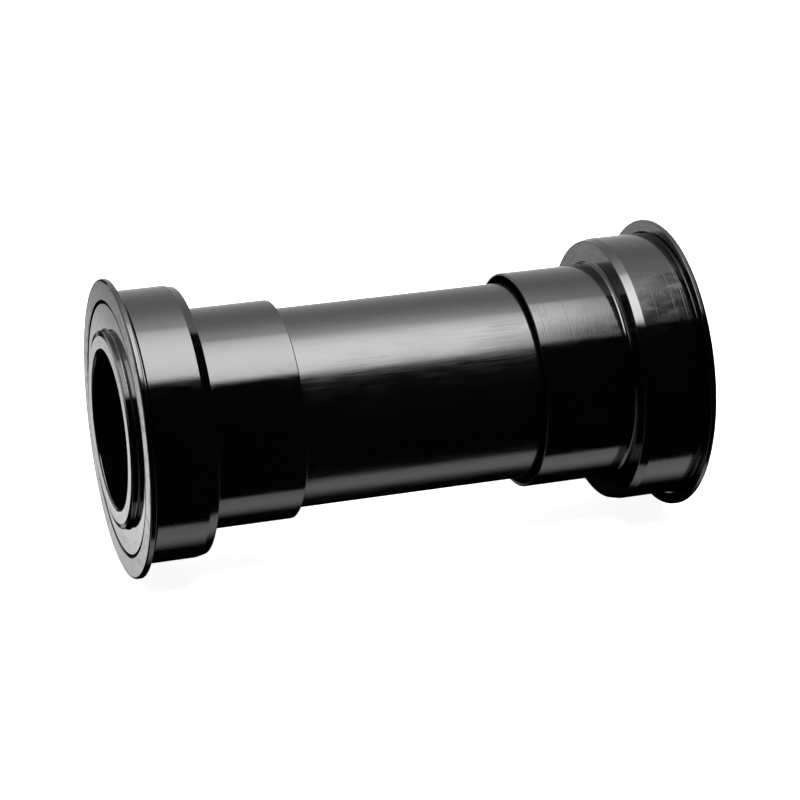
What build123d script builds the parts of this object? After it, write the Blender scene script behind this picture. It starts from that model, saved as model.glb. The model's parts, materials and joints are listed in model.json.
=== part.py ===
"""Press-fit bicycle bottom bracket: two flanged cups that telescope over a centre sleeve.

Millimetres. The origin is the middle of the bracket, on its axis. +Y runs along the axis to the
left cup, +X points forward and +Z up. Every turned piece is drawn as a half section of (radius,
depth) points, where depth is counted inwards along the axis from its own cup's outer flange face.
"""

import os

from build123d import *

# ---- driving dimensions ------------------------------------------------------------------------

FLANGE_FACE_Y = 43.7  # outer flange face of either cup, cups pushed fully together
FLANGE_R = 22.5
FLANGE_THICKNESS = 0.9
FLANGE_EDGE_ROUND = 0.35
FLANGE_BACK_ROUND = 0.15

PRESS_R = 20.5  # the 41 mm shell bore
PRESS_END = 9.35  # depth where the lead-in taper starts
RELIEF_WIDTH = 0.8  # groove that lets the flange seat flat on the shell
RELIEF_DEPTH = 0.3
RELIEF_BEVEL = 0.2
RELIEF_UNDERCUT = 0.1  # how far the groove also cuts into the flange
RELIEF_FACE_R = 20.75

STEP_R = 20.2  # small end of the lead-in taper
STEP_DEPTH = 10.75  # inboard step face
STEP_EDGE_ROUND = 0.15

EXTENSION_R = 16.65
EXTENSION_END = 24.95  # depth of the extension's open lip
EXTENSION_FILLET = 0.6
LIP_ROUND = 0.15
MOUTH_R = 16.2  # wide mouth that houses the sleeve's O-ring
MOUTH_START = 19.0

SLEEVE_R = 15.2
SLEEVE_WALL = 1.0
SLEEVE_CLEARANCE = 0.08
SLEEVE_END_GAP = 0.1
SLEEVE_EDGE = 0.3
STOP_DEPTH = 10.2  # shoulder that the sleeve's end meets
STOP_R = 14.6

RING_SECTION_R = 0.6  # O-ring on the sleeve
RING_DEPTH = 19.75
RING_GROOVE_R = 14.95
RING_GROOVE_WIDTH = 1.3
FIT_GAP = 0.01

BEARING_BORE_R = 12.5  # 25 x 37 x 7 mm cartridge bearing
BEARING_R = 18.5
BEARING_WIDTH = 7.0
BEARING_START = 1.9
INNER_LAND_R = 14.1
OUTER_LAND_R = 16.9
RACE_R = 1.82
BEARING_EDGE = 0.3

BALL_R = 1.75
BALL_PITCH_R = 15.5
BALL_COUNT = 18

CAGE_INNER_R = 14.55
CAGE_OUTER_R = 16.45
CAGE_BACK = 2.3  # behind the ball centres
CAGE_FRONT = 0.9  # in front of the ball centres
POCKET_R = 1.83

SEAL_SEAT_R = 17.25
SEAL_SEAT_DEPTH = 0.7
SEAL_THICKNESS = 0.6
SEAL_WEB = 0.4
SEAL_LIP_R = 14.2
SEAL_RIM = 0.95
SEAL_LIP = 0.35

BEARING_RELIEF = 0.3  # keeps the web clear of the inner ring

RECESS_R = 19.25  # pocket in the flange face, around the dust cover
RECESS_ROUND = 0.15
COVER_R = 18.88
COVER_FACE = 0.07  # almost flush with the flange
COVER_EDGE_BACK = 1.45
COVER_HUB_BACK = 1.65
COVER_SPIGOT_R = 14.0
COVER_EDGE_ROUND = 0.12

BOSS_R = 14.88
BOSS_TOP = -0.95
BOSS_FLAT_R = 14.1  # the top falls away slightly outside this
BOSS_FALL = 0.11
BOSS_EDGE_ROUND = 0.15
BOSS_FOOT_FILLET = 0.25

SPINDLE_BORE_R = 12.02
SPINDLE_BORE_END = 8.7
SPINDLE_BORE_ROUND = 0.3

COVER_SEAL_INNER_R = 17.5
COVER_SEAL_OUTER_R = 18.3
COVER_SEAL_FRONT = 1.0
COVER_SEAL_BACK = 1.85

# ---- sizes that follow from them ---------------------------------------------------------------

BALL_DEPTH = BEARING_START + BEARING_WIDTH / 2
BEARING_END = BEARING_START + BEARING_WIDTH
GUIDE_R = SLEEVE_R + SLEEVE_CLEARANCE
SLEEVE_END_Y = FLANGE_FACE_Y - STOP_DEPTH - SLEEVE_END_GAP
RING_Y = FLANGE_FACE_Y - RING_DEPTH

SIDES = {"left": 1, "right": -1}  # sign of Y


# ---- shared drawing ----------------------------------------------------------------------------


def along_y(side, depth):
    """Y of a depth inside the cup on this side."""
    return side * (FLANGE_FACE_Y - depth)


def turned(side, section):
    """A ring turned about the axis from a half section of (radius, depth) points."""
    with BuildPart() as piece:
        with BuildSketch(Plane.XY):
            with BuildLine():
                Polyline([(r, along_y(side, depth)) for r, depth in section], close=True)
            make_face()
        revolve(axis=Axis.Y)
    return piece


def rim(piece, side, radius, depth):
    """The circular edge of a turned piece at this radius and depth."""
    y = along_y(side, depth)
    return (
        piece.edges()
        .filter_by(GeomType.CIRCLE)
        .filter_by(lambda edge: abs(edge.radius - radius) < 1e-4)
        .filter_by(lambda edge: abs(edge.arc_center.Y - y) < 1e-4)
    )


def finish(piece, name):
    """Name a finished piece and write it."""
    piece.part.label = name
    export_step(piece.part, f"parts/{name}.step")


# ---- cup ---------------------------------------------------------------------------------------


def cup(side):
    """Flange, press body, lead-in taper and slim extension, bored for the bearing and the sleeve."""
    groove_end = FLANGE_THICKNESS + RELIEF_WIDTH
    groove_r = PRESS_R - RELIEF_DEPTH
    piece = turned(
        side,
        [
            (RECESS_R, 0),
            (FLANGE_R, 0),
            (FLANGE_R, FLANGE_THICKNESS),
            (RELIEF_FACE_R, FLANGE_THICKNESS),
            (groove_r, FLANGE_THICKNESS - RELIEF_UNDERCUT),
            (groove_r, groove_end - RELIEF_BEVEL),
            (PRESS_R, groove_end),
            (PRESS_R, PRESS_END),
            (STEP_R, STEP_DEPTH),
            (EXTENSION_R, STEP_DEPTH),
            (EXTENSION_R, EXTENSION_END),
            (MOUTH_R, EXTENSION_END),
            (MOUTH_R, MOUTH_START),
            (GUIDE_R, MOUTH_START),
            (GUIDE_R, STOP_DEPTH),
            (STOP_R, STOP_DEPTH),
            (STOP_R, BEARING_END + BEARING_RELIEF),
            (OUTER_LAND_R, BEARING_END + BEARING_RELIEF),
            (OUTER_LAND_R, BEARING_END),
            (BEARING_R, BEARING_END),
            (BEARING_R, BEARING_START),
            (RECESS_R, BEARING_START),
        ],
    )
    with piece:
        fillet(rim(piece, side, EXTENSION_R, STEP_DEPTH), EXTENSION_FILLET)
        fillet(rim(piece, side, FLANGE_R, 0), FLANGE_EDGE_ROUND)
        fillet(rim(piece, side, FLANGE_R, FLANGE_THICKNESS), FLANGE_BACK_ROUND)
        fillet(rim(piece, side, RECESS_R, 0), RECESS_ROUND)
        fillet(rim(piece, side, STEP_R, STEP_DEPTH), STEP_EDGE_ROUND)
        fillet(rim(piece, side, EXTENSION_R, EXTENSION_END), LIP_ROUND)
        fillet(rim(piece, side, MOUTH_R, EXTENSION_END), LIP_ROUND)
    return piece


# ---- dust cover --------------------------------------------------------------------------------


def dust_cover(side):
    """Flat disc with a raised boss, and the bush that lines the bearing for the spindle."""
    piece = turned(
        side,
        [
            (SPINDLE_BORE_R, BOSS_TOP),
            (BOSS_FLAT_R, BOSS_TOP),
            (BOSS_R, BOSS_TOP + BOSS_FALL),
            (BOSS_R, COVER_FACE),
            (COVER_R, COVER_FACE),
            (COVER_R, COVER_EDGE_BACK),
            (COVER_SEAL_OUTER_R, COVER_EDGE_BACK),
            (COVER_SEAL_OUTER_R, COVER_SEAL_FRONT),
            (COVER_SEAL_INNER_R, COVER_SEAL_FRONT),
            (COVER_SEAL_INNER_R, COVER_EDGE_BACK),
            (COVER_SPIGOT_R, COVER_HUB_BACK),
            (COVER_SPIGOT_R, BEARING_START),
            (BEARING_BORE_R, BEARING_START),
            (BEARING_BORE_R, SPINDLE_BORE_END),
            (SPINDLE_BORE_R, SPINDLE_BORE_END),
        ],
    )
    with piece:
        fillet(rim(piece, side, SPINDLE_BORE_R, BOSS_TOP), SPINDLE_BORE_ROUND)
        fillet(rim(piece, side, BOSS_R, BOSS_TOP + BOSS_FALL), BOSS_EDGE_ROUND)
        fillet(rim(piece, side, BOSS_R, COVER_FACE), BOSS_FOOT_FILLET)
        fillet(rim(piece, side, COVER_R, COVER_FACE), COVER_EDGE_ROUND)
    return piece


def cover_seal(side):
    """Rubber lip in the back of the dust cover, just short of the bearing's outer ring."""
    return turned(
        side,
        [
            (COVER_SEAL_INNER_R, COVER_SEAL_FRONT),
            (COVER_SEAL_OUTER_R, COVER_SEAL_FRONT),
            (COVER_SEAL_OUTER_R, COVER_EDGE_BACK),
            ((COVER_SEAL_INNER_R + COVER_SEAL_OUTER_R) / 2 + SEAL_LIP / 2, COVER_SEAL_BACK),
            ((COVER_SEAL_INNER_R + COVER_SEAL_OUTER_R) / 2 - SEAL_LIP / 2, COVER_SEAL_BACK),
            (COVER_SEAL_INNER_R, COVER_EDGE_BACK),
        ],
    )


# ---- bearing -----------------------------------------------------------------------------------


def cut_race(piece, side):
    """Cut the ball track that both rings share."""
    with piece:
        with BuildSketch(Plane.XY) as track:
            with Locations((BALL_PITCH_R, along_y(side, BALL_DEPTH))):
                Circle(RACE_R)
        revolve(track.sketch, axis=Axis.Y, mode=Mode.SUBTRACT)


def outer_ring(side):
    """Outer ring, with a seat for a seal at each face."""
    seat_front = BEARING_START + SEAL_SEAT_DEPTH
    seat_back = BEARING_END - SEAL_SEAT_DEPTH
    piece = turned(
        side,
        [
            (BEARING_R, BEARING_START),
            (BEARING_R, BEARING_END),
            (SEAL_SEAT_R, BEARING_END),
            (SEAL_SEAT_R, seat_back),
            (OUTER_LAND_R, seat_back),
            (OUTER_LAND_R, seat_front),
            (SEAL_SEAT_R, seat_front),
            (SEAL_SEAT_R, BEARING_START),
        ],
    )
    cut_race(piece, side)
    with piece:
        for depth in (BEARING_START, BEARING_END):
            chamfer(rim(piece, side, BEARING_R, depth), BEARING_EDGE)
    return piece


def inner_ring(side):
    """Inner ring, pressed on the dust cover's bush."""
    piece = turned(
        side,
        [
            (BEARING_BORE_R, BEARING_START),
            (INNER_LAND_R, BEARING_START),
            (INNER_LAND_R, BEARING_END),
            (BEARING_BORE_R, BEARING_END),
        ],
    )
    cut_race(piece, side)
    with piece:
        for depth in (BEARING_START, BEARING_END):
            chamfer(rim(piece, side, BEARING_BORE_R, depth), BEARING_EDGE)
    return piece


def ball_plane(side):
    """The plane through the ball centres, square to the axis. Plane.XZ faces -Y."""
    return Plane.XZ.offset(-along_y(side, BALL_DEPTH))


def balls(side):
    """The ring of balls."""
    with BuildPart() as piece:
        with Locations(ball_plane(side)):
            with PolarLocations(BALL_PITCH_R, BALL_COUNT):
                Sphere(BALL_R)
    return piece


def cage(side):
    """Snap-in cage: a back ring with fingers that reach past the balls' widest part."""
    piece = turned(
        side,
        [
            (CAGE_INNER_R, BALL_DEPTH - CAGE_FRONT),
            (CAGE_OUTER_R, BALL_DEPTH - CAGE_FRONT),
            (CAGE_OUTER_R, BALL_DEPTH + CAGE_BACK),
            (CAGE_INNER_R, BALL_DEPTH + CAGE_BACK),
        ],
    )
    with piece:
        with Locations(ball_plane(side)):
            with PolarLocations(BALL_PITCH_R, BALL_COUNT):
                Sphere(POCKET_R, mode=Mode.SUBTRACT)
    return piece


def seal(side, inward):
    """Contact seal in the outer ring's seat. inward is +1 for the outboard face, -1 for the inboard."""
    seat = BALL_DEPTH - inward * (BEARING_WIDTH / 2 - SEAL_SEAT_DEPTH)
    face = seat - inward * SEAL_THICKNESS
    recess = (SEAL_THICKNESS - SEAL_WEB) / 2
    return turned(
        side,
        [
            (SEAL_SEAT_R, seat),
            (SEAL_SEAT_R, face),
            (SEAL_SEAT_R - SEAL_RIM, face),
            (SEAL_SEAT_R - SEAL_RIM - recess, face + inward * recess),
            (SEAL_LIP_R + SEAL_LIP, face + inward * recess),
            (SEAL_LIP_R, face + 2 * inward * recess),
            (SEAL_LIP_R, seat),
            (SEAL_LIP_R + SEAL_LIP, seat),
            (SEAL_LIP_R + SEAL_LIP + recess, seat - inward * recess),
            (SEAL_SEAT_R - SEAL_RIM - recess, seat - inward * recess),
            (SEAL_SEAT_R - SEAL_RIM, seat),
        ],
    )


# ---- centre sleeve -----------------------------------------------------------------------------


def centre_sleeve():
    """Plain tube with an O-ring groove near each end."""
    bore_r = SLEEVE_R - SLEEVE_WALL
    half_groove = RING_GROOVE_WIDTH / 2
    with BuildPart() as piece:
        with BuildSketch(Plane.XY):
            with Locations((bore_r + SLEEVE_WALL / 2, 0)):
                Rectangle(SLEEVE_WALL, 2 * SLEEVE_END_Y)
            for side in SIDES.values():
                with Locations((RING_GROOVE_R, side * RING_Y)):
                    Rectangle(
                        SLEEVE_WALL,
                        2 * half_groove,
                        align=(Align.MIN, Align.CENTER),
                        mode=Mode.SUBTRACT,
                    )
        revolve(axis=Axis.Y)
        ends = piece.edges().filter_by(GeomType.CIRCLE).group_by(Axis.Y)
        for end in (ends[0], ends[-1]):
            chamfer(end.filter_by(lambda edge: edge.radius > bore_r + SLEEVE_WALL / 2), SLEEVE_EDGE)
    return piece


def sleeve_ring(side):
    """O-ring in the sleeve's groove, inside the extension's mouth."""
    with BuildPart() as piece:
        with BuildSketch(Plane.XY):
            with Locations((RING_GROOVE_R + FIT_GAP + RING_SECTION_R, side * RING_Y)):
                Circle(RING_SECTION_R)
        revolve(axis=Axis.Y)
    return piece


# ---- the whole bracket -------------------------------------------------------------------------


def main():
    os.makedirs("parts", exist_ok=True)
    finish(centre_sleeve(), "centre_sleeve")
    for name, side in SIDES.items():
        finish(cup(side), f"{name}_cup")
        finish(dust_cover(side), f"{name}_dust_cover")
        finish(cover_seal(side), f"{name}_cover_seal")
        finish(outer_ring(side), f"{name}_bearing_outer_ring")
        finish(inner_ring(side), f"{name}_bearing_inner_ring")
        finish(balls(side), f"{name}_bearing_balls")
        finish(cage(side), f"{name}_ball_cage")
        finish(seal(side, 1), f"{name}_outboard_seal")
        finish(seal(side, -1), f"{name}_inboard_seal")
        finish(sleeve_ring(side), f"{name}_sleeve_ring")


main()
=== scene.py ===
"""Bottom bracket in black anodised aluminium, standing on its two flanges on a pale studio floor.

Metres, in the CAD model's frame: Y runs along the axis, towards the left cup, and Z is up.
"""

import json
import math

import bpy
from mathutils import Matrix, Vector


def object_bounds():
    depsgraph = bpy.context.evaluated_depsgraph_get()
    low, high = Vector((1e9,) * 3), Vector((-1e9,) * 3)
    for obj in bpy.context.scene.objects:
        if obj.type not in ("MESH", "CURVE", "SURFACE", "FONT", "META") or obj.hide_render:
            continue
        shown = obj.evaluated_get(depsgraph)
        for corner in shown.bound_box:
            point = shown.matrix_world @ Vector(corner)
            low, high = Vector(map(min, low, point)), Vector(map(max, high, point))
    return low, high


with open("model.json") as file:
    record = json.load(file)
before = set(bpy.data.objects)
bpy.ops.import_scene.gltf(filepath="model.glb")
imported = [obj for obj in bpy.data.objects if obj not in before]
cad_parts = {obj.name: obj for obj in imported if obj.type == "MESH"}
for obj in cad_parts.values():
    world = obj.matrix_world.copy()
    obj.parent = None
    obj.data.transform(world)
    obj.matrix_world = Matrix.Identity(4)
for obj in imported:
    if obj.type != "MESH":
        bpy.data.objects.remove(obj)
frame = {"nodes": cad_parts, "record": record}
cad_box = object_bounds()

MM = 0.001

# ---- camera, as the object was seen ------------------------------------------------------------

VIEW_AZIMUTH = 161.97  # degrees from +X towards +Y, where the camera stands
VIEW_ELEVATION = 22.69
VIEW_DISTANCE = 428.8 * MM
AIM = Vector((-0.53, -0.63, -0.79)) * MM
SENSOR = 36.0
FOCAL_LENGTH = 125.92

# ---- studio ------------------------------------------------------------------------------------

# The room is laid out by direction: degrees round the bracket's axis, where 0 is the camera's side,
# 90 is up and 180 is behind, and the Y of a unit direction, which is positive on the left. A pair is
# where a light starts and where it is full, or where it starts to fade and where it is gone.

# A softbox overhead.
SOFTBOX = (55.6, 107.0)
SOFTBOX_FRONT = 61.0  # its front edge is full from here
SOFTBOX_LEVEL = 10.7
SOFTBOX_MIDDLE = 78.0  # where it is brightest
SOFTBOX_REACH = 41.6  # how far from there its brightness would run out
SOFTBOX_BRIGHTER = (-0.15, 0.05)  # it gains towards the left
SOFTBOX_GAIN = 1.4
RIGHT_END = (-0.343, -0.376)
RIGHT_CORNER = (88.0, 64.0)  # it ends sooner towards its low front corner
RIGHT_CORNER_CUT = 0.024
LEFT_END = (0.25, 0.30)

# The pale wall behind, and the light that the softbox spills on it.
WALL_LEVEL = 0.68
SPILL_LEVEL = 2.9
SPILL_REACH = 17.0
SPILL_FALL = 1.5  # how sharply it falls away
SPILL_END = (-0.30, -0.38)  # it is weaker past the softbox's right end
SPILL_END_LOSS = 0.6
SPILL_LOSS_SPAN = (150.0, 112.0)
LOW_WALL = (-148.0, -156.0)  # the wall's low part
LOW_WALL_LEVEL = 0.7
LOW_WALL_END = (0.0, 0.1)

# The lit table below, brightening towards its front edge.
TABLE = (-108.0, -84.0)
TABLE_EDGE = (-71.0, -74.0)
TABLE_LEVEL = 1.05

# A second, smaller softbox, low behind the left end.
LAMP_LEVEL = 2.5
LAMP_RIGHT = (0.14, 0.165)
LAMP_TOP = (-154.5, -146.5)
LAMP_TOP_SLANT = 102.0  # its top drops this many degrees for each unit of Y
LAMP_TOP_Y = 0.19
LAMP_FOOT = (-159.8, -156.9)
LAMP_FOOT_SLANT = 100.0  # and its foot rises this many
LAMP_FOOT_Y = 0.187
LAMP_HALF = (0.180, 0.194)  # the half to the right of this is dimmer
LAMP_HALF_SLANT = 0.0042  # the line between them leans this much for each degree
LAMP_HALF_ANGLE = -154.0
LAMP_HALF_DIM = 0.37

# A pale card further left, lower still.
CARD = (0.25, 0.32)
CARD_TOP = (-157.8, -158.5)
CARD_LEVEL = 1.0

BACKDROP_LEVEL = 1.0  # what the camera sees round the floor
FLOOR_SIZE = 6.0
FLOOR_COLOUR = (0.9, 0.9, 0.9, 1.0)
FLOOR_LIT = 1.02  # the table is lit from below, so shadows on it are faint


class Nodes:
    """Short ways to add and join shader nodes in one tree."""

    def __init__(self, tree):
        self.tree = tree
        tree.nodes.clear()

    def add(self, kind, inputs=None, **settings):
        node = self.tree.nodes.new(kind)
        for name, value in settings.items():
            setattr(node, name, value)
        for name, value in (inputs or {}).items():
            self.feed(node.inputs[name], value)
        return node

    def feed(self, socket, value):
        if isinstance(value, bpy.types.NodeSocket):
            self.tree.links.new(value, socket)
        else:
            socket.default_value = value

    def math(self, operation, a, b=0.0, clamp=False):
        node = self.add("ShaderNodeMath", operation=operation, use_clamp=clamp)
        self.feed(node.inputs[0], a)
        self.feed(node.inputs[1], b)
        return node.outputs[0]

    def remap(self, value, old, new, smooth=False):
        ranges = {"From Min": old[0], "From Max": old[1], "To Min": new[0], "To Max": new[1]}
        kind = "SMOOTHSTEP" if smooth else "LINEAR"
        node = self.add("ShaderNodeMapRange", {"Value": value, **ranges}, interpolation_type=kind)
        return node.outputs["Result"]

    def mix(self, factor, a, b):
        node = self.add("ShaderNodeMix", {"Factor": factor}, data_type="RGBA")
        self.feed(node.inputs[6], a)
        self.feed(node.inputs[7], b)
        return node.outputs[2]


def make_camera():
    data = bpy.data.cameras.new("camera")
    data.sensor_width = SENSOR
    data.lens = FOCAL_LENGTH
    data.clip_start = 0.01
    camera = bpy.data.objects.new("camera", data)
    azimuth = math.radians(VIEW_AZIMUTH)
    elevation = math.radians(VIEW_ELEVATION)
    towards = Vector(
        (
            math.cos(elevation) * math.cos(azimuth),
            math.cos(elevation) * math.sin(azimuth),
            math.sin(elevation),
        )
    )
    camera.location = AIM + VIEW_DISTANCE * towards
    camera.rotation_euler = towards.to_track_quat("Z", "Y").to_euler()
    bpy.context.scene.collection.objects.link(camera)
    bpy.context.scene.camera = camera


def round_axis(n):
    """Degrees round the bracket's axis, and the Y, of the direction a ray leaves in."""
    direction = n.add("ShaderNodeTexCoord").outputs["Generated"]
    axes = n.add("ShaderNodeSeparateXYZ", {"Vector": direction}).outputs
    angle = n.math("DEGREES", n.math("ARCTAN2", axes["Z"], n.math("MULTIPLY", axes["X"], -1.0)))
    return angle, axes["Y"]


def overhead_softbox(n, angle, left):
    off_middle = n.math("DIVIDE", n.math("SUBTRACT", angle, SOFTBOX_MIDDLE), SOFTBOX_REACH)
    level = n.math("SUBTRACT", 1.0, n.math("MULTIPLY", off_middle, off_middle), clamp=True)
    level = n.math("MULTIPLY", level, n.remap(angle, (SOFTBOX[0], SOFTBOX_FRONT), (0.0, SOFTBOX_LEVEL)))
    level = n.math("MULTIPLY", level, n.math("LESS_THAN", angle, SOFTBOX[1]))
    level = n.math("MULTIPLY", level, n.remap(left, SOFTBOX_BRIGHTER, (1.0, SOFTBOX_GAIN)))
    level = n.math("MULTIPLY", level, n.remap(left, LEFT_END, (1.0, 0.0)))
    in_corner = n.math("SUBTRACT", left, n.remap(angle, RIGHT_CORNER, (0.0, RIGHT_CORNER_CUT)))
    return n.math("MULTIPLY", level, n.remap(in_corner, RIGHT_END, (1.0, 0.0)))


def wall_behind(n, angle, left):
    away = n.math("DIVIDE", n.math("SUBTRACT", angle, SOFTBOX[1]), SPILL_REACH)
    away = n.math("POWER", n.math("MAXIMUM", away, 0.0), SPILL_FALL)
    spill = n.math("EXPONENT", n.math("MULTIPLY", away, -1.0))
    level = n.math("ADD", n.math("MULTIPLY", spill, SPILL_LEVEL), WALL_LEVEL)
    loss = n.remap(left, SPILL_END, (0.0, SPILL_END_LOSS))
    loss = n.math("MULTIPLY", loss, n.remap(angle, SPILL_LOSS_SPAN, (0.0, 1.0)))
    level = n.math("MULTIPLY", level, n.math("SUBTRACT", 1.0, loss))
    return n.math("MULTIPLY", level, n.math("GREATER_THAN", angle, SOFTBOX[1]))


def table_below(n, angle):
    level = n.remap(angle, TABLE, (0.0, TABLE_LEVEL), smooth=True)
    return n.math("MULTIPLY", level, n.remap(angle, TABLE_EDGE, (0.0, 1.0)))


def low_wall(n, angle, left):
    level = n.remap(angle, LOW_WALL, (0.0, LOW_WALL_LEVEL))
    return n.math("MULTIPLY", level, n.remap(left, LOW_WALL_END, (1.0, 0.0), smooth=True))


def left_lamp(n, angle, left):
    past_top = n.math("MAXIMUM", n.math("SUBTRACT", left, LAMP_TOP_Y), 0.0)
    below_top = n.math("ADD", angle, n.math("MULTIPLY", past_top, LAMP_TOP_SLANT))
    past_foot = n.math("MULTIPLY", n.math("SUBTRACT", left, LAMP_FOOT_Y), LAMP_FOOT_SLANT)
    leaning = n.math("MULTIPLY", n.math("SUBTRACT", angle, LAMP_HALF_ANGLE), LAMP_HALF_SLANT)
    foot = n.remap(n.math("SUBTRACT", angle, past_foot), LAMP_FOOT, (0.0, 1.0))
    half = n.remap(n.math("SUBTRACT", left, leaning), LAMP_HALF, (LAMP_HALF_DIM, 1.0))
    level = n.math("MULTIPLY", n.math("MINIMUM", foot, half), n.remap(left, LAMP_RIGHT, (0.0, LAMP_LEVEL)))
    level = n.math("MULTIPLY", level, n.remap(below_top, LAMP_TOP, (1.0, 0.0)))
    return n.math("MULTIPLY", level, n.math("LESS_THAN", angle, 0.0))


def left_card(n, angle, left):
    level = n.remap(left, CARD, (0.0, CARD_LEVEL))
    return n.math("MULTIPLY", level, n.remap(angle, CARD_TOP, (0.0, 1.0)))


def light_studio():
    """Lights all round, and nothing in front. The camera itself sees a plain white backdrop."""
    world = bpy.data.worlds.new("studio")
    bpy.context.scene.world = world
    world.use_nodes = True
    n = Nodes(world.node_tree)
    angle, left = round_axis(n)
    level = overhead_softbox(n, angle, left)
    for light in (wall_behind, low_wall, left_lamp, left_card):
        level = n.math("ADD", level, light(n, angle, left))
    level = n.math("ADD", level, table_below(n, angle))
    seen = n.add("ShaderNodeLightPath").outputs["Is Camera Ray"]
    reflected = n.add("ShaderNodeBackground", {"Color": level})
    backdrop = n.add("ShaderNodeBackground", {"Color": (1, 1, 1, 1), "Strength": BACKDROP_LEVEL})
    both = n.add("ShaderNodeMixShader", {"Fac": seen})
    n.feed(both.inputs[1], reflected.outputs[0])
    n.feed(both.inputs[2], backdrop.outputs[0])
    n.add("ShaderNodeOutputWorld", {"Surface": both.outputs[0]})


def lay_floor():
    """A plain pale floor under the two flanges, kept out of the gloss so that the front stays dark."""
    height = cad_box[0][2]
    half = FLOOR_SIZE / 2
    mesh = bpy.data.meshes.new("floor")
    corners = [(-half, -half, height), (half, -half, height), (half, half, height), (-half, half, height)]
    mesh.from_pydata(corners, [], [(0, 1, 2, 3)])
    floor = bpy.data.objects.new("floor", mesh)
    bpy.context.scene.collection.objects.link(floor)
    floor.visible_glossy = False
    material = bpy.data.materials.new("floor_paper")
    material.use_nodes = True
    n = Nodes(material.node_tree)
    paper = n.add(
        "ShaderNodeBsdfPrincipled",
        {
            "Base Color": FLOOR_COLOUR,
            "Roughness": 0.9,
            "Emission Color": FLOOR_COLOUR,
            "Emission Strength": FLOOR_LIT,
        },
    )
    n.add("ShaderNodeOutputMaterial", {"Surface": paper.outputs[0]})
    material.cycles.emission_sampling = "NONE"
    mesh.materials.append(material)


# ---- materials ---------------------------------------------------------------------------------

FACE_MARKS = 1.7  # marks are this many times closer on faces than on walls
DRAWN_STRETCH = 0.035  # scale of the tube's marks lengthwise, where it is 1 across them
RING_PEAKS = (0.66, 0.70)  # only the highest peaks of the noise are deep rings
SCRATCH_PEAKS = (0.70, 0.74)
DYE_DARK = (0.0004, 0.0004, 0.00045, 1)
DYE_PALE = (0.0008, 0.0008, 0.0008, 1)


def start_material(name):
    material = bpy.data.materials.new(name)
    material.use_nodes = True
    return material, Nodes(material.node_tree)


def places(n):
    """Object position in millimetres, its distance from the axis, and its X, Y and Z."""
    position = n.add("ShaderNodeTexCoord").outputs["Object"]
    scaled = n.add("ShaderNodeVectorMath", {"Vector": position, "Scale": 1 / MM}, operation="SCALE")
    point = scaled.outputs["Vector"]
    axes = n.add("ShaderNodeSeparateXYZ", {"Vector": point}).outputs
    squares = [n.math("MULTIPLY", axes[name], axes[name]) for name in ("X", "Z")]
    return point, n.math("SQRT", n.math("ADD", *squares)), axes


def noise(n, point, scale, detail=2.0):
    """Noise from 0 to 1, at this many grains to the millimetre."""
    texture = n.add("ShaderNodeTexNoise", {"Vector": point, "Scale": scale, "Detail": detail})
    return texture.outputs["Fac"]


def line_noise(n, along, scale, detail=2.0):
    """Noise that changes only along one measure, for marks that run square to it."""
    inputs = {"W": along, "Scale": scale, "Detail": detail}
    return n.add("ShaderNodeTexNoise", inputs, noise_dimensions="1D").outputs["Fac"]


def bumps(n, height, strength=1.0):
    """A bumpy normal from a height in millimetres."""
    node = n.add("ShaderNodeBump", {"Height": height, "Strength": strength, "Distance": MM})
    return node.outputs["Normal"]


def finish_material(n, shader):
    n.add("ShaderNodeOutputMaterial", {"Surface": shader.outputs[0]})


def across_turning(n, radius, axes):
    """A measure that crosses the marks of turning, on faces and on walls alike."""
    return n.math("ADD", axes["Y"], n.math("MULTIPLY", radius, FACE_MARKS))


def turned_marks(n, radius, axes):
    """Fine and broad tool marks that run round the axis, and a few deeper rings."""
    across = across_turning(n, radius, axes)
    fine = line_noise(n, across, 3.5, 3.0)
    broad = line_noise(n, across, 0.8, 2.0)
    rings = n.remap(line_noise(n, across, 1.9, 1.0), RING_PEAKS, (0.0, 1.0), smooth=True)
    return fine, broad, rings


def drawn_marks(n, point):
    """Marks drawn along the tube, a few millimetres long, and the odd deeper scratch."""
    long = n.add("ShaderNodeMapping", {"Vector": point, "Scale": (1.0, DRAWN_STRETCH, 1.0)}).outputs[0]
    fine = noise(n, long, 4.5, 4.0)
    broad = noise(n, long, 1.6, 2.0)
    scratches = n.remap(noise(n, long, 3.2, 1.0), SCRATCH_PEAKS, (0.0, 1.0), smooth=True)
    return fine, broad, scratches


def handling_scuffs(n, point):
    """Short wiped streaks, all one way, at a slant to the axis."""
    wiped = {"Vector": point, "Rotation": (0.6, 0.2, 0.9), "Scale": (1.0, 0.3, 1.0)}
    return noise(n, n.add("ShaderNodeMapping", wiped).outputs[0], 0.9, 6.0)


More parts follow.
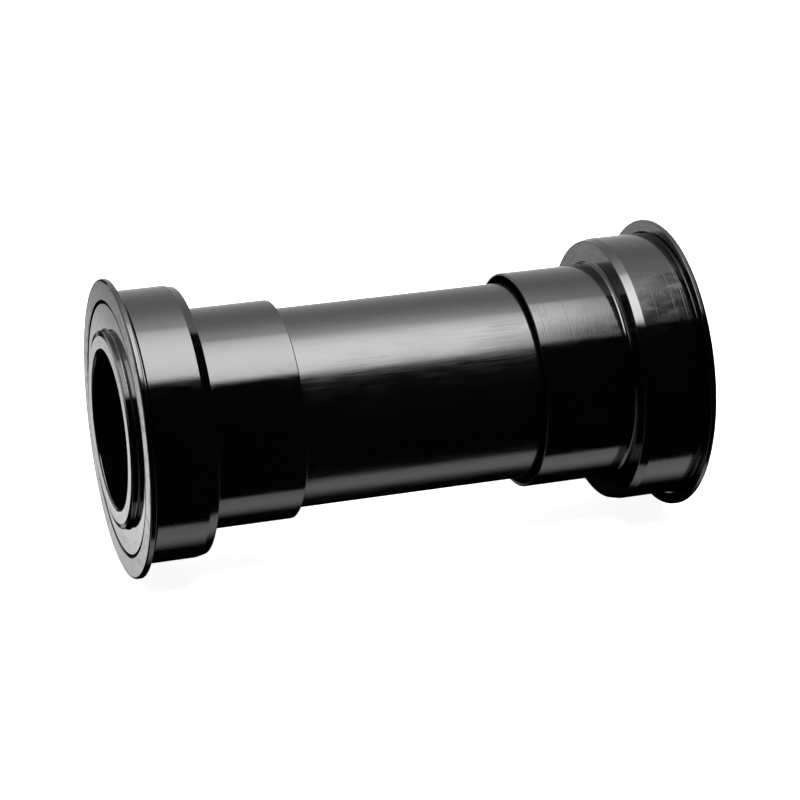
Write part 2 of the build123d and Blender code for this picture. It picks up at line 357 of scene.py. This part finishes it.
def anodised(name, roughness, ior, finish):
    """Black dye over aluminium, with the marks of how it was cut, handling scuffs and fine grain."""
    material, n = start_material(name)
    point, radius, axes = places(n)
    if finish["drawn"]:
        fine, broad, deep = drawn_marks(n, point)
    else:
        fine, broad, deep = turned_marks(n, radius, axes)
    grain = noise(n, point, finish["grain_scale"], 4.0)
    scuffs = handling_scuffs(n, point)
    haze = noise(n, point, 0.12, 3.0)
    layers = [
        (fine, finish["fine"]),
        (broad, finish["broad"]),
        (deep, -finish["deep"]),
        (grain, finish["grain"]),
        (scuffs, finish["scuffs"]),
    ]
    height = 0.0
    for layer, depth in layers:
        height = n.math("ADD", height, n.math("MULTIPLY", layer, depth))
    streak = finish["streak_haze"]
    rough = n.remap(haze, (0.35, 0.65), (roughness * 0.9, roughness * 1.1))
    rough = n.math("ADD", rough, n.remap(scuffs, (0.50, 0.70), (0.0, finish["scuff_haze"])))
    rough = n.math("ADD", rough, n.remap(fine, (0.3, 0.7), (-streak, streak)))
    tangent = n.add("ShaderNodeTangent", direction_type="RADIAL", axis="Y")
    shader = n.add(
        "ShaderNodeBsdfPrincipled",
        {
            "Base Color": n.mix(grain, DYE_DARK, DYE_PALE),
            "Roughness": rough,
            "IOR": ior,
            "Anisotropic": finish["anisotropic"],
            "Anisotropic Rotation": 0.0 if finish["drawn"] else 0.25,
            "Tangent": tangent.outputs[0],
            "Normal": bumps(n, height),
        },
    )
    finish_material(n, shader)
    return material


# Depths of the marks are in millimetres, the grain's scale is in grains to the millimetre, and the
# hazes are how much the marks add to the roughness.
TURNED = {
    "drawn": False,
    "fine": 0.0008,
    "broad": 0.0004,
    "deep": 0.0012,
    "grain": 0.0042,
    "grain_scale": 5.0,
    "scuffs": 0.0016,
    "scuff_haze": 0.07,
    "streak_haze": 0.010,
    "anisotropic": 0.3,
}
FACED = {
    "drawn": False,
    "fine": 0.0010,
    "broad": 0.0005,
    "deep": 0.0010,
    "grain": 0.0016,
    "grain_scale": 3.2,
    "scuffs": 0.0016,
    "scuff_haze": 0.03,
    "streak_haze": 0.010,
    "anisotropic": 0.3,
}
DRAWN = {
    "drawn": True,
    "fine": 0.0036,
    "broad": 0.0055,
    "deep": 0.0018,
    "grain": 0.0006,
    "grain_scale": 3.0,
    "scuffs": 0.0020,
    "scuff_haze": 0.03,
    "streak_haze": 0.045,
    "anisotropic": 0.6,
}


def bearing_steel():
    material, n = start_material("ground_steel")
    radius, axes = places(n)[1:]
    marks = line_noise(n, across_turning(n, radius, axes), 8.0, 3.0)
    shader = n.add(
        "ShaderNodeBsdfPrincipled",
        {
            "Base Color": n.mix(marks, (0.52, 0.52, 0.53, 1), (0.68, 0.67, 0.66, 1)),
            "Metallic": 1.0,
            "Roughness": n.remap(marks, (0.3, 0.7), (0.16, 0.26)),
            "Normal": bumps(n, n.math("MULTIPLY", marks, 0.001), 0.5),
        },
    )
    finish_material(n, shader)
    return material


def ball_steel():
    material, n = start_material("polished_steel")
    point = places(n)[0]
    film = noise(n, point, 0.8, 3.0)
    shader = n.add(
        "ShaderNodeBsdfPrincipled",
        {
            "Base Color": n.mix(film, (0.70, 0.70, 0.71, 1), (0.80, 0.79, 0.78, 1)),
            "Metallic": 1.0,
            "Roughness": n.remap(film, (0.3, 0.7), (0.04, 0.10)),
        },
    )
    finish_material(n, shader)
    return material


def cage_nylon():
    material, n = start_material("glass_filled_nylon")
    point = places(n)[0]
    fibres = n.add("ShaderNodeMapping", {"Vector": point, "Scale": (1.0, 0.3, 1.0)})
    speckle = noise(n, fibres.outputs[0], 6.0, 4.0)
    shader = n.add(
        "ShaderNodeBsdfPrincipled",
        {
            "Base Color": n.mix(speckle, (0.50, 0.44, 0.31, 1), (0.68, 0.62, 0.48, 1)),
            "Roughness": n.remap(speckle, (0.3, 0.7), (0.42, 0.60)),
            "Normal": bumps(n, n.math("MULTIPLY", speckle, 0.01), 0.6),
        },
    )
    finish_material(n, shader)
    return material


def seal_rubber():
    material, n = start_material("nitrile_rubber")
    point = places(n)[0]
    pores = noise(n, point, 7.0, 4.0)
    bloom = noise(n, point, 0.5, 3.0)
    shader = n.add(
        "ShaderNodeBsdfPrincipled",
        {
            "Base Color": n.mix(bloom, (0.010, 0.010, 0.010, 1), (0.022, 0.021, 0.020, 1)),
            "Roughness": n.remap(pores, (0.3, 0.7), (0.48, 0.66)),
            "Normal": bumps(n, n.math("MULTIPLY", pores, 0.01), 0.7),
        },
    )
    finish_material(n, shader)
    return material


def dress(materials):
    """Give each CAD node the finish of its material slot."""
    for part in frame["record"]["subparts"]:
        node = frame["nodes"][part["node"]]
        for slot in node.material_slots:
            slot.material = materials[part["material_slot"]]


make_camera()
light_studio()
lay_floor()
dress(
    {
        "cup_anodised": anodised("turned_anodised", 0.085, 1.58, TURNED),
        "sleeve_anodised": anodised("drawn_anodised", 0.155, 1.61, DRAWN),
        "cover_anodised": anodised("faced_anodised", 0.085, 1.58, FACED),
        "bearing_steel": bearing_steel(),
        "ball_steel": ball_steel(),
        "cage_nylon": cage_nylon(),
        "seal_rubber": seal_rubber(),
    }
)
bpy.context.scene.view_settings.view_transform = "Standard"
